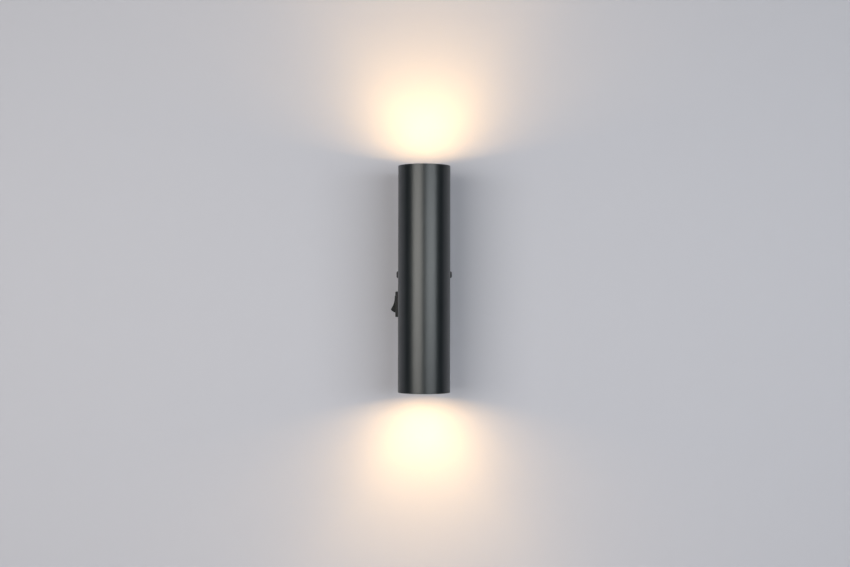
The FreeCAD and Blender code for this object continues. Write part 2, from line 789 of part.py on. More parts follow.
def make_rocker():
    """A rocker with a hollow face, two trunnions, and a stem for its plunger."""
    body = new_body("switch_rocker")
    half = d.rocker_width / 2
    reach = d.rocker_reach
    tip = root(reach * reach - d.rocker_rise * d.rocker_rise)
    outline = [
        (-d.rocker_rise, -tip, d.rocker_hollow), (-d.rocker_rise, tip, -reach),
        (0, reach), (0, -reach, -reach),
    ]
    pad(body, "paddle", "XZ_Plane", [outline], -half, d.rocker_width)
    pad(body, "trunnions", "XZ_Plane", [circle((0, 0), d.trunnion_radius)],
        -trunnion_reach, trunnion_reach * 2)
    pad(body, "stem", "YZ_Plane", [circle((0, 0), d.stem_radius)], -d.overrun, d.stem_length + d.overrun)
    bore = [circle((0, 0), d.plunger_radius + d.fit)]
    pocket(body, "plunger_bore", "YZ_Plane", bore, d.stem_floor, d.stem_length)
    return keep("switch_rocker", at_pivot(body))


def make_plunger():
    """A round-nosed pin and the short spring behind it, both held in the rocker's stem."""
    length = d.plunger_reach - d.plunger_radius - plunger_back
    nose = document.addObject("Part::Sphere", "nose")
    bind(nose, "Radius", d.plunger_radius)
    move(nose, (d.plunger_reach - d.plunger_radius, 0, 0))
    pin = join(rod(d.plunger_radius, length, (plunger_back, 0, 0), "x"), nose)
    keep("switch_plunger", at_pivot(pin))
    length = plunger_back - d.stem_floor
    coil = cut(rod(d.plunger_radius - d.fit, length, (d.stem_floor, 0, 0), "x"),
               rod(d.plunger_radius - d.fit - d.spring_wire * 2, length, (d.stem_floor, 0, 0), "x"))
    keep("switch_spring", at_pivot(coil))


def make_blade():
    """The seesaw contact that the plunger rocks on its post."""
    half_x = d.blade_thickness / 2
    half_y = d.blade_width / 2
    half_z = d.blade_length / 2
    made = block((-half_x, -half_y, -half_z), (half_x, half_y, half_z))
    turned = together([made])
    return keep("switch_blade", move(turned, (blade_x, switch_y, switch_z),
                                     Rotation(Y_AXIS, -float(d.blade_tilt))))


def make_terminals():
    """The post that carries the seesaw contact, and the contact that it closes on."""
    half_y = d.blade_width / 2
    half_z = d.terminal_thickness / 2
    post_x = blade_x + d.blade_thickness / 2 + d.gap
    line = block((post_x, switch_y - half_y, line_z - half_z),
                 (terminal_end, switch_y + half_y, line_z + half_z))
    swing = d.blade_length / 2 * sine(d.blade_tilt)
    pad_x = blade_x + d.blade_thickness / 2 + swing + d.fit
    load = block((pad_x, switch_y - half_y, load_z - half_z),
                 (terminal_end, switch_y + half_y, load_z + half_z))
    touch = block((pad_x, switch_y - half_y, load_z - half_z),
                  (pad_x + d.terminal_thickness, switch_y + half_y, load_z + d.terminal_spacing / 2))
    return keep("switch_terminals", together([line, join(load, touch)]))


# Terminal block and earth ------------------------------------------------------------------------

def make_terminal_block():
    """A three-way block with a brass sleeve and two clamping screws in each way."""
    half = d.way_pitch + d.sleeve_radius + d.block_edge
    front = box_inner_front + d.block_depth
    blank = block((-half, box_inner_front, block_foot), (half, front, block_top))
    sleeve_low = block_foot + d.sleeve_inset
    sleeve_length = d.block_height - d.sleeve_inset * 2
    heights = (block_foot + d.clamp_screw_inset, block_top - d.clamp_screw_inset)
    cuts = []
    sleeves = []
    screws = []
    for step in PITCHES:
        x = step * d.way_pitch
        cuts.append(rod(d.sleeve_radius + d.fit, sleeve_length, (x, block_middle_y, sleeve_low)))
        cuts.append(rod(way_bore, d.block_height + d.overrun * 2,
                        (x, block_middle_y, block_foot - d.overrun)))
        threads = []
        for z in heights:
            lift = d.lead_radius * (2 if step == 0 and z is heights[0] else 1)
            tip = block_middle_y + lift
            cuts.append(rod(d.small_shank + d.gap, front - block_middle_y + d.overrun,
                            (x, block_middle_y, z), "y"))
            threads.append(rod(d.small_shank + d.fit, d.block_depth, (x, block_middle_y, z), "y"))
            length = front - tip - d.small_head_height
            notch = block((x - d.small_shank, tip + length - d.recess_depth, z - d.recess_width / 2),
                          (x + d.small_shank, tip + length, z + d.recess_width / 2))
            screws.append(cut(rod(d.small_shank, length, (x, tip, z), "y"), notch))
        sleeves.append(cut(rod(d.sleeve_radius, sleeve_length, (x, block_middle_y, sleeve_low)),
                           rod(way_bore, sleeve_length, (x, block_middle_y, sleeve_low)), *threads))
    x = d.way_pitch / 2
    z = block_foot + d.block_height / 2
    seat = front - d.small_head_height - d.gap
    cuts.append(rod(d.small_shank + d.screw_clearance, d.block_depth, (x, box_inner_front, z), "y"))
    cuts.append(rod(d.small_head + d.gap, d.small_head_height + d.gap, (x, seat, z), "y"))
    keep("terminal_block", cut(blank, *cuts))
    keep("terminal_sleeves", together(sleeves))
    keep("terminal_screws", together(screws))
    length = seat - box_inner_front + d.box_sheet - d.fit
    keep("block_screw", screw(d.small_shank, d.small_head, d.small_head_height, length,
                              (x, seat, z), Rotation(X_AXIS, 90)))


def make_earth_fixing():
    """A ring tag clamped on the bracket's tongue by a screw and a nut."""
    top = tongue_top + d.earth_tag_sheet
    barrel = d.lead_radius + d.earth_tag_sheet / 2
    start = d.large_head + d.gap
    ring = rod(d.earth_tag_radius, d.earth_tag_sheet, (0, earth_y, tongue_top))
    tail = block((0, earth_y - barrel, tongue_top), (d.earth_tag_reach, earth_y + barrel, top))
    crimp = rod(barrel, d.earth_tag_reach - start, (start, earth_y, tongue_top + barrel), "x")
    hole = rod(screw_hole, d.earth_tag_sheet + d.overrun * 2, (0, earth_y, tongue_top - d.overrun))
    keep("earth_tag", cut(join(ring, tail, crimp), hole))
    keep("earth_screw", screw(d.large_shank, d.large_head, d.large_head_height, d.earth_screw_length,
                              (0, earth_y, top), Rotation(X_AXIS, 180)))
    keep("earth_nut", nut(d.large_nut, d.large_nut_height, d.large_shank + d.fit,
                          (0, earth_y, tongue_top - d.bracket_sheet), Rotation(X_AXIS, 180)))


# Leads -------------------------------------------------------------------------------------------

def rounded_path(corners):
    """Straight runs joined by tangent arcs, each as large as its two runs allow."""
    points = [Vector(*[float(as_size(value)) for value in corner]) for corner in corners]
    edges = []
    radii = []
    start = points[0]
    for before, corner, after in zip(points, points[1:], points[2:]):
        back = (before - corner).normalize()
        ahead = (after - corner).normalize()
        half_turn = (math.pi - back.getAngle(ahead)) / 2
        reach = ARC_SHARE * min((before - corner).Length, (after - corner).Length)
        radius = reach / math.tan(half_turn)
        enter = corner + back * reach
        leave = corner + ahead * reach
        to_centre = (back + ahead).normalize()
        nearest = corner + to_centre * (radius / math.cos(half_turn) - radius)
        edges.append(Part.LineSegment(start, enter).toShape())
        edges.append(Part.Arc(enter, nearest, leave).toShape())
        radii.append(radius)
        start = leave
    edges.append(Part.LineSegment(start, points[-1]).toShape())
    return Part.Wire(edges), radii


def make_lead(label, corners):
    """A round insulated lead along its route, whole from end to end."""
    path, radii = rounded_path(corners)
    radius = float(d.lead_radius)
    first = path.Edges[0]
    start = first.valueAt(first.FirstParameter)
    ahead = first.tangentAt(first.FirstParameter)
    ring = Part.Wire([Part.Circle(start, ahead, radius).toShape()])
    made = document.addObject("Part::Feature", label)
    made.Shape = path.makePipeShell([ring], True, False)
    made.Placement = Placement()
    share = made.Shape.Volume / (math.pi * radius * radius * path.Length)
    print(label, "volume share", round(share, 4), "radii", [round(value, 1) for value in radii])
    return keep(label, made)


def in_tube(side, end_side):
    """Where a lead runs from the bushing forward and up or down to its holder."""
    x = side * lead_lane
    z = end_side * lead_lane
    pin_x = side * d.pin_spacing / 2
    foot = end_side * (holder_bottom + d.lead_radius * 2)
    half_way = end_side * (holder_bottom - d.holder_radius * 2)
    return [(x, tube_y + d.tube_lead_turn, z), (pin_x, tube_y, half_way), (pin_x, tube_y, foot)]


def make_leads():
    """Live and neutral leads to both lamps, the supply to the switch, and the earth.

    The points between a lead's ends are shares of where its ends are, so a route follows them.
    """
    lane = lead_lane
    side_by_side = d.lead_radius + d.fit
    way_foot = block_foot + d.sleeve_inset
    near = block_middle_y - side_by_side
    far = block_middle_y + side_by_side
    lane_x = d.switch_lane
    inner_x = d.switch_lane - d.lead_radius * 3
    make_lead("upper_live_lead", [
        (terminal_end, switch_y + side_by_side, load_z), (lane_x, switch_y + side_by_side, load_z),
        (lane_x * 0.6, far, load_z * 0.4), (lane, far, lane), *in_tube(1, 1),
    ])
    make_lead("lower_live_lead", [
        (terminal_end, switch_y - side_by_side, load_z), (inner_x, switch_y - side_by_side, load_z),
        (inner_x * 0.45, near, load_z * 0.43), (lane, near, -lane), *in_tube(1, -1),
    ])
    slip = d.lead_radius * 0.4
    make_lead("upper_neutral_lead", [
        (0, near, way_foot), (-lane, near + slip, way_foot * 0.55),
        (-lane, near + d.lead_radius * 2.7, lane), *in_tube(-1, 1),
    ])
    make_lead("lower_neutral_lead", [
        (0, far, way_foot), (-lane, far + slip, way_foot * 0.55),
        (-lane, far + d.lead_radius * 5, -lane), *in_tube(-1, -1),
    ])
    x = -d.way_pitch
    back = switch_y + d.supply_lane
    make_lead("supply_live_lead", [
        (x, block_middle_y, way_foot), (x, block_middle_y + d.lead_radius, way_foot * 0.4),
        (x * 0.6, back - d.supply_lane * 0.3, lane), (lane_x * 0.2, back, line_z * 0.4),
        (lane_x * 0.6, back - d.supply_lane * 0.3, line_z * 0.83), (lane_x * 0.3, switch_y, line_z),
        (terminal_end, switch_y, line_z),
    ])
    x = d.way_pitch
    tag_z = tongue_top + d.lead_radius + d.earth_tag_sheet / 2
    lane_x = x + d.earth_lane
    make_lead("earth_lead", [
        (x, block_middle_y, way_foot), (x, block_middle_y, way_foot * 0.4),
        (lane_x, block_middle_y * 0.88, tag_z * 0.14), (lane_x, earth_y * 2.2, tag_z * 0.76),
        (x + d.earth_lane * 0.6, earth_y, tag_z), (d.earth_tag_reach, earth_y, tag_z),
    ])


# Build, check and write --------------------------------------------------------------------------

make_tube()
make_wall_box()
make_wall_bracket()
make_side_screws()
make_tube_fixings()
make_wire_bushing()
for tube_half in TURNED_OVER:
    make_holder_bracket(tube_half)
    make_holder(tube_half)
    make_contacts(tube_half)
    make_lamp(tube_half)
make_holder_fixings()
make_switch_body()
make_rocker()
make_plunger()
make_blade()
make_terminals()
make_terminal_block()
make_earth_fixing()
make_leads()
document.recompute()

for item in document.Objects:
    if {"Invalid", "Error"} & set(item.State):
        raise RuntimeError(f"{item.Label} failed to build: {item.State}")
os.makedirs("parts", exist_ok=True)
for item in sub_parts:
    if item.Shape.isNull() or not item.Shape.isValid() or not item.Shape.Solids:
        raise RuntimeError(f"{item.Label} has no valid shape")
    item.Shape.exportStep(os.path.join("parts", f"{item.Label}.step"))
print(len(sub_parts), "sub-parts written")
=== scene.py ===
import json
import math

import bmesh
import bpy
from mathutils import Euler, Matrix, Vector


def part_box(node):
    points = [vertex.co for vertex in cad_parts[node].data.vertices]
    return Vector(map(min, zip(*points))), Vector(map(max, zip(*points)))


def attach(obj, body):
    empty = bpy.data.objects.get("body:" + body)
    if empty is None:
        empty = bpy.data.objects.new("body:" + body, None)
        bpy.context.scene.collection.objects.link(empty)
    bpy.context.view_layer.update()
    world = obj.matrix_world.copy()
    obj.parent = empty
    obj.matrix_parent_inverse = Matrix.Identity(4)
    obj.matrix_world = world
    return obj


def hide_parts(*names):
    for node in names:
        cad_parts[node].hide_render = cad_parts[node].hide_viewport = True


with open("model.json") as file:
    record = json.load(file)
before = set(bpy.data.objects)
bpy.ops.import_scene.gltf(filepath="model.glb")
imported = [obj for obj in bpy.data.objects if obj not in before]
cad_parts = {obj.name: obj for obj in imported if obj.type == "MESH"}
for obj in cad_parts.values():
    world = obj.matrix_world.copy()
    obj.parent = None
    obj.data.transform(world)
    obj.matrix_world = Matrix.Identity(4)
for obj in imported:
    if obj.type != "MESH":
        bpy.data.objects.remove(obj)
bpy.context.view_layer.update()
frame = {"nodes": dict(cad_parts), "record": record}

# Places in the frame, in metres: the tube's axis, and how far up and down the lamps' faces are.
TUBE_AXIS_Y = -0.070
LENS_FACE = 0.1175


# Camera: the photograph's angle, a little below the middle of the tube and tilted up.
CAMERA_PLACE = (0.0010, -1.6150, -0.0239)
CAMERA_TILT_UP = math.radians(0.70)
CAMERA_ROLL = math.radians(0.11)
SENSOR_WIDTH_MM = 36
FOCAL_LENGTH_MM = 57


def make_camera():
    camera = bpy.data.cameras.new("camera")
    camera.sensor_width = SENSOR_WIDTH_MM
    camera.lens = FOCAL_LENGTH_MM
    seen_from = bpy.data.objects.new("camera", camera)
    bpy.context.scene.collection.objects.link(seen_from)
    seen_from.location = CAMERA_PLACE
    tilt = Euler((math.pi / 2 + CAMERA_TILT_UP, 0, 0)).to_matrix()
    seen_from.rotation_euler = (tilt @ Matrix.Rotation(CAMERA_ROLL, 3, "Z")).to_euler()
    bpy.context.scene.camera = seen_from


# Materials. Every texture is placed in object coordinates, which are the frame's metres.

# The values of a texture that a mask runs between. The closer they are, the sharper its patches.
ALL_OVER = (0.30, 0.70)
CLOUDS = (0.35, 0.70)
STAINS = (0.40, 0.75)
PATCHES = (0.45, 0.75)
SHARP_PATCHES = (0.40, 0.60)
FAINT_CLOUDS = (0.30, 0.80)
STRIPE_EDGE = (0.45, 0.55)
PORE_EDGE = (0.16, 0.05)

# How much of the surface's direction a rounded corner keeps: where wear starts and where it is full.
CORNER_TURN = (0.98, 0.80)

# The Mix node's sockets for colours, which share their names with those for numbers.
MIX_FACTOR, MIX_FIRST, MIX_SECOND, MIX_RESULT = 0, 6, 7, 2

POWDER_GRAIN = 0.0011
PORE_SIZE = 0.0009
STAIN = (0.66, 0.60, 0.52)
PORE_DIRT = (0.45, 0.42, 0.38)
STRIPE_SCALE = 150
STRIPE_WANDER = 1.5


def shaded(colour, factor, lift=0.0):
    """The colour made lighter or darker, up to white."""
    return [min(1.0, c * factor + lift) for c in colour]


class Paint:
    """One procedural material: a shader, and the layers of detail that are added to it."""

    def __init__(self, name, colour, roughness, metallic=0.0, specular=0.5):
        self.material = bpy.data.materials.new(name)
        self.material.use_nodes = True
        self.tree = self.material.node_tree
        self.shader = self.tree.nodes["Principled BSDF"]
        self.shader.inputs["Metallic"].default_value = metallic
        self.shader.inputs["Specular IOR Level"].default_value = specular
        self.shader.inputs["Roughness"].default_value = roughness
        self.shader.inputs["Base Color"].default_value = (*colour, 1)
        self.colour = (*colour, 1)
        self.height = None
        self.place = self.node("TexCoord").outputs["Object"]

    def node(self, kind, **settings):
        made = self.tree.nodes.new("ShaderNode" + kind)
        for setting, value in settings.items():
            setattr(made, setting, value)
        return made

    def put(self, value, socket):
        if isinstance(value, bpy.types.NodeSocket):
            self.tree.links.new(value, socket)
        else:
            socket.default_value = value

    def stretched(self, stretch):
        if stretch is None:
            return self.place
        mapping = self.node("Mapping")
        self.put(self.place, mapping.inputs["Vector"])
        mapping.inputs["Scale"].default_value = stretch
        return mapping.outputs["Vector"]

    def noise(self, size, detail=2.0, stretch=None):
        """Clouds of lumps about size metres across, with finer ones in them for more detail."""
        texture = self.node("TexNoise")
        self.put(self.stretched(stretch), texture.inputs["Vector"])
        texture.inputs["Scale"].default_value = 1 / size
        texture.inputs["Detail"].default_value = detail
        return texture.outputs["Fac"]

    def cells(self, size):
        """Distance from the middle of each of many grains."""
        texture = self.node("TexVoronoi")
        self.put(self.place, texture.inputs["Vector"])
        texture.inputs["Scale"].default_value = 1 / size
        return texture.outputs["Distance"]

    def spread(self, value, low, high, out_low=0.0, out_high=1.0):
        ranged = self.node("MapRange")
        self.put(value, ranged.inputs["Value"])
        numbers = {"From Min": low, "From Max": high, "To Min": out_low, "To Max": out_high}
        for name, number in numbers.items():
            ranged.inputs[name].default_value = number
        return ranged.outputs["Result"]

    def math(self, operation, first, second=0.0):
        worked = self.node("Math", operation=operation)
        self.put(first, worked.inputs[0])
        self.put(second, worked.inputs[1])
        return worked.outputs[0]

    def tint(self, mask, colour):
        """The colour so far gives way to another where the mask is 1."""
        mixed = self.node("Mix", data_type="RGBA")
        self.put(mask, mixed.inputs[MIX_FACTOR])
        self.put(self.colour, mixed.inputs[MIX_FIRST])
        self.put((*colour, 1), mixed.inputs[MIX_SECOND])
        self.colour = mixed.outputs[MIX_RESULT]
        self.put(self.colour, self.shader.inputs["Base Color"])

    def vary_roughness(self, mask, low, high):
        self.put(self.spread(mask, *ALL_OVER, low, high), self.shader.inputs["Roughness"])

    def bump(self, height, depth):
        """The surface rises by up to depth metres where height is 1."""
        raised = self.node("Bump")
        raised.inputs["Strength"].default_value = 1.0
        raised.inputs["Distance"].default_value = depth
        self.put(height, raised.inputs["Height"])
        if self.height is not None:
            self.put(self.height, raised.inputs["Normal"])
        self.height = raised.outputs["Normal"]
        self.put(self.height, self.shader.inputs["Normal"])

    def edges(self, radius, worn_size=0.0015):
        """A patchy mask that is 1 at sharp corners, within about the radius of them."""
        rounded = self.node("Bevel", samples=4)
        rounded.inputs["Radius"].default_value = radius
        facing = self.node("VectorMath", operation="DOT_PRODUCT")
        self.put(rounded.outputs["Normal"], facing.inputs[0])
        self.put(self.node("NewGeometry").outputs["Normal"], facing.inputs[1])
        corner = self.spread(facing.outputs["Value"], *CORNER_TURN)
        patches = self.spread(self.noise(worn_size, detail=3), *SHARP_PATCHES)
        return self.math("MULTIPLY", corner, patches)


def powder(name, colour, worn):
    """Fine textured powder coat, with its grain, uneven gloss and lighter rubbed corners."""
    paint = Paint(name, colour, 0.34, specular=0.57)
    paint.tint(paint.spread(paint.noise(POWDER_GRAIN, detail=3), *CLOUDS), shaded(colour, 1.35))
    paint.tint(paint.edges(radius=0.0004), worn)
    paint.vary_roughness(paint.noise(size=0.0014), low=0.31, high=0.36)
    paint.bump(paint.noise(POWDER_GRAIN), depth=0.00007)
    return paint.material


def plated(name, colour, stretch, roughness=0.30):
    """Plated or bare metal with drawn lines, clouding and brighter corners."""
    paint = Paint(name, colour, roughness, metallic=1.0)
    lines = paint.noise(size=0.0006, detail=3, stretch=stretch)
    clouds = paint.noise(size=0.006, detail=4)
    paint.tint(paint.spread(clouds, *CLOUDS), shaded(colour, 0.78))
    paint.tint(paint.spread(lines, *PATCHES, out_high=0.5), shaded(colour, 0.85))
    paint.tint(paint.edges(radius=0.0003, worn_size=0.0008), shaded(colour, 1.25))
    paint.vary_roughness(clouds, roughness - 0.08, roughness + 0.12)
    paint.bump(lines, depth=0.00001)
    return paint.material


def moulded(name, colour, roughness, grain=0.0004, depth=0.00001, specular=0.5):
    """Moulded plastic or rubber with a fine eroded grain, uneven gloss and lighter corners."""
    paint = Paint(name, colour, roughness, specular=specular)
    paint.tint(paint.spread(paint.noise(size=0.004, detail=4), *CLOUDS, out_high=0.6), shaded(colour, 0.85))
    paint.tint(paint.edges(radius=0.0003, worn_size=0.0010), shaded(colour, 1.5, lift=0.01))
    paint.vary_roughness(paint.noise(size=0.002, detail=3), roughness - 0.07, roughness + 0.07)
    paint.bump(paint.noise(grain), depth)
    return paint.material


def fired(name, colour):
    """Unglazed ceramic with pores and a faint stain."""
    paint = Paint(name, colour, 0.75)
    paint.tint(paint.spread(paint.noise(size=0.005, detail=5), *STAINS, out_high=0.7), STAIN)
    paint.tint(paint.spread(paint.cells(PORE_SIZE), *PORE_EDGE), PORE_DIRT)
    paint.bump(paint.cells(PORE_SIZE), depth=0.00005)
    return paint.material


def insulation(name, colour, stripe=None):
    """Soft wire insulation with a slight sheen, rubbed patches and, on the earth lead, a stripe."""
    paint = Paint(name, colour, 0.42)
    if stripe:
        bands = paint.node("TexWave", wave_type="BANDS", bands_direction="X")
        paint.put(paint.place, bands.inputs["Vector"])
        bands.inputs["Scale"].default_value = STRIPE_SCALE
        bands.inputs["Distortion"].default_value = STRIPE_WANDER
        paint.tint(paint.spread(bands.outputs["Fac"], *STRIPE_EDGE), stripe)
    paint.tint(paint.spread(paint.noise(size=0.003, detail=4), *PATCHES, out_high=0.5), shaded(colour, 0.7))
    paint.vary_roughness(paint.noise(size=0.0015, detail=3), low=0.36, high=0.52)
    paint.bump(paint.noise(size=0.0008), depth=0.00002)
    return paint.material


def glowing(name, colour, light, strength):
    """Frosted lens that glows evenly, with faint clouds and a fine grain."""
    paint = Paint(name, colour, 0.35)
    paint.tint(paint.spread(paint.noise(size=0.003, detail=3), *CLOUDS, out_high=0.5), shaded(colour, 0.93))
    paint.bump(paint.noise(size=0.0005), depth=0.00002)
    paint.shader.inputs["Emission Color"].default_value = (*light, 1)
    paint.shader.inputs["Emission Strength"].default_value = strength
    return paint.material


ANTHRACITE = (0.0044, 0.0070, 0.0084)
WORN_POWDER = (0.055, 0.060, 0.064)
WARM = (1.0, 0.86, 0.66)
LAMP_LIGHT = (1.0, 0.62, 0.23)


def make_materials():
    along_x, along_z = (1, 12, 12), (12, 12, 1)
    return {
        "tube_powder": powder("tube_powder", ANTHRACITE, WORN_POWDER),
        "box_powder": powder("box_powder", shaded(ANTHRACITE, 1.1), WORN_POWDER),
        "black_steel": plated("black_steel", (0.075, 0.075, 0.078), along_x, 0.38),
        "zinc_steel": plated("zinc_steel", (0.62, 0.63, 0.64), along_z),
        "switch_plastic": moulded("switch_plastic", (0.012, 0.013, 0.014), 0.50, specular=0.3),
        "rocker_plastic": moulded("rocker_plastic", (0.010, 0.011, 0.012), 0.46, grain=0.0008, specular=0.2),
        "ceramic": fired("ceramic", (0.80, 0.77, 0.71)),
        "brass": plated("brass", (0.74, 0.56, 0.26), along_z, 0.26),
        "lamp_metal": plated("lamp_metal", (0.80, 0.80, 0.81), along_z, 0.36),
        "white_plastic": moulded("white_plastic", (0.80, 0.80, 0.77), 0.45),
        "lens": glowing("lens", (0.36, 0.34, 0.29), WARM, 0.55),
        "board": moulded("board", (0.83, 0.84, 0.82), 0.5),
        "block_plastic": moulded("block_plastic", (0.74, 0.74, 0.68), 0.42),
        "bushing_rubber": moulded("bushing_rubber", (0.028, 0.028, 0.028), 0.62, 0.0006, depth=0.00002),
        "brown_lead": insulation("brown_lead", (0.16, 0.07, 0.03)),
        "blue_lead": insulation("blue_lead", (0.05, 0.12, 0.45)),
        "earth_lead": insulation("earth_lead", (0.18, 0.42, 0.08), (0.75, 0.62, 0.05)),
    }


# Studio: the wall, the floor, a dark room for reflections, two soft boxes, a fill and the lamps' own light.
def plain(name, colour):
    """A matt surface with faint clouds."""
    paint = Paint(name, colour, 0.9, specular=0.2)
    clouds = paint.spread(paint.noise(size=0.02, detail=4), *FAINT_CLOUDS, out_high=0.25)
    paint.tint(clouds, shaded(colour, 0.985))
    return paint


def stage_mesh(name, corners, faces, material):
    mesh = bpy.data.meshes.new(name)
    mesh.from_pydata(corners, [], faces)
    mesh.materials.append(material)
    made = bpy.data.objects.new(name, mesh)
    bpy.context.scene.collection.objects.link(made)
    return made


WALL_PLACE_Y = 0.0003
WALL_REACH = 2.6
WALL_TOP = 1.7
FLOOR = -1.05

# Half the width and height of the wall's opening under the wall box.
HIDDEN_X = 0.0285
HIDDEN_Z = 0.0530

FLOOR_COLOUR = (0.70, 0.70, 0.71)
FLOOR_SEEN = (0.70, 0.70, 0.72, 1)
FLOOR_SEEN_STRENGTH = 0.6

ROOM_STEPS = 24
ROOM_RADIUS = 2.4
ROOM_OFF_WALL = 0.02


def rectangle(left, right, low, high):
    """Its four corners, in order round the edge."""
    return [(left, low), (right, low), (right, high), (left, high)]


def make_wall():
    """The wall is open under the wall box, where nobody sees it, and shows only its front side."""
    paint = plain("wall", (0.515, 0.508, 0.548))
    paint.bump(paint.noise(size=0.0012, detail=3), depth=0.00006)
    clear = paint.node("BsdfTransparent")
    mix = paint.node("MixShader")
    paint.put(paint.node("NewGeometry").outputs["Backfacing"], mix.inputs[0])
    paint.put(paint.shader.outputs[0], mix.inputs[1])
    paint.put(clear.outputs[0], mix.inputs[2])
    paint.put(mix.outputs[0], paint.tree.nodes["Material Output"].inputs["Surface"])
    outer = rectangle(-WALL_REACH, WALL_REACH, FLOOR, WALL_TOP)
    inner = rectangle(-HIDDEN_X, HIDDEN_X, -HIDDEN_Z, HIDDEN_Z)
    corners = [(x, WALL_PLACE_Y, z) for x, z in outer + inner]
    faces = [(i, (i + 1) % 4, 4 + (i + 1) % 4, 4 + i) for i in range(4)]
    wall = stage_mesh("wall", corners, faces, paint.material)
    wall.visible_shadow = False


def make_floor():
    """Pale where the camera or a reflection sees it."""
    corners = [(x, y, FLOOR) for x, y in rectangle(-WALL_REACH, WALL_REACH, -WALL_REACH, WALL_REACH)]
    paint = plain("floor", FLOOR_COLOUR)
    paint.shader.inputs["Emission Color"].default_value = FLOOR_SEEN
    seen = paint.node("LightPath").outputs
    seen_pale = paint.math("MAXIMUM", seen["Is Camera Ray"], seen["Is Glossy Ray"])
    strength = paint.math("MULTIPLY", seen_pale, FLOOR_SEEN_STRENGTH)
    paint.put(strength, paint.shader.inputs["Emission Strength"])
    stage_mesh("floor", corners, [(0, 1, 2, 3)], paint.material)


def make_dark_room():
    """The unlit room behind the soft boxes, seen only in reflections."""
    dark = Paint("dark_room", (0.01, 0.01, 0.012), 1.0, specular=0.0)
    ring = []
    for step in range(ROOM_STEPS + 1):
        angle = math.pi * (step / ROOM_STEPS - 0.5)
        ring.append((ROOM_RADIUS * math.sin(angle), -ROOM_OFF_WALL - ROOM_RADIUS * math.cos(angle)))
    corners = [(x, y, z) for z in (FLOOR, WALL_TOP) for x, y in ring]
    above = ROOM_STEPS + 1
    faces = [(i, i + 1, above + i + 1, above + i) for i in range(ROOM_STEPS)]
    room = stage_mesh("dark_room", corners, faces, dark.material)
    room.visible_camera = False
    room.visible_diffuse = False
    room.visible_shadow = False
    room.visible_transmission = False


SOFT_BOX_DISTANCE = 1.6
SOFT_BOX_RISE = 0.05


def make_light(name, kind, place, aim, power, colour, size, size_y=None):
    light = bpy.data.lights.new(name, "AREA")
    light.shape = kind
    light.size = size
    if size_y:
        light.size_y = size_y
    light.energy = power
    light.color = colour
    made = bpy.data.objects.new(name, light)
    bpy.context.scene.collection.objects.link(made)
    made.location = place
    made.rotation_euler = (Vector(aim) - Vector(place)).to_track_quat("-Z", "Y").to_euler()
    made.visible_camera = False
    return made


def make_soft_box(name, azimuth, half_width, half_height, power, colour):
    """A soft box placed by how the tube sees it: its azimuth and half sizes are angles in degrees."""
    turn = math.radians(azimuth)
    middle = Vector((0, TUBE_AXIS_Y, 0))
    place = middle + SOFT_BOX_DISTANCE * Vector((math.sin(turn), -math.cos(turn), SOFT_BOX_RISE))
    width = 2 * SOFT_BOX_DISTANCE * math.tan(math.radians(half_width))
    height = 2 * SOFT_BOX_DISTANCE * math.tan(math.radians(half_height))
    make_light(name, "RECTANGLE", place, middle, power, colour, width, height)


# The small lights near the edge of each lamp.
RING_LIGHTS = 10
RING_RADIUS = 0.0212
RING_POWER = 0.44
RING_LIGHT_SIZE = 0.0045

# The discs in the middle of each lamp: power, and spread in degrees.
DISCS = {"wide": (0.12, 180), "beam": (0.100, 92)}
DISC_SIZE = 0.044
OFF_LENS = 0.0012


def make_lights():
    make_soft_box("soft_box_left", -29.3, 20.5, 11.6, 16.2, (1.0, 0.985, 0.93))
    make_soft_box("soft_box_right", 29.8, 21.6, 9.4, 13.7, (0.92, 0.98, 1.0))
    rear = make_light("rear_fill", "SQUARE", (0.3, 1.7, 0.9), (0, 0, 0), power=34, colour=(1, 1, 1), size=1.4)
    rear.visible_glossy = False
    for name, side in (("up_light", 1), ("down_light", -1)):
        height = side * (LENS_FACE + OFF_LENS)
        for turn in range(RING_LIGHTS):
            angle = 2 * math.pi * turn / RING_LIGHTS
            x = RING_RADIUS * math.cos(angle)
            y = TUBE_AXIS_Y + RING_RADIUS * math.sin(angle)
            make_light(f"{name}_ring_{turn}", "DISK", (x, y, height), (x, y, side),
                       RING_POWER / RING_LIGHTS, LAMP_LIGHT, RING_LIGHT_SIZE)
        for part, (power, spread) in DISCS.items():
            light = make_light(f"{name}_{part}", "DISK", (0, TUBE_AXIS_Y, height), (0, TUBE_AXIS_Y, side),
                               power, LAMP_LIGHT, DISC_SIZE)
            light.data.spread = math.radians(spread)


WORLD_LIGHT = (0.9, 0.92, 1.0, 1)
WORLD_STRENGTH = 0.10
WORLD_SEEN = (0.80, 0.80, 0.82, 1)


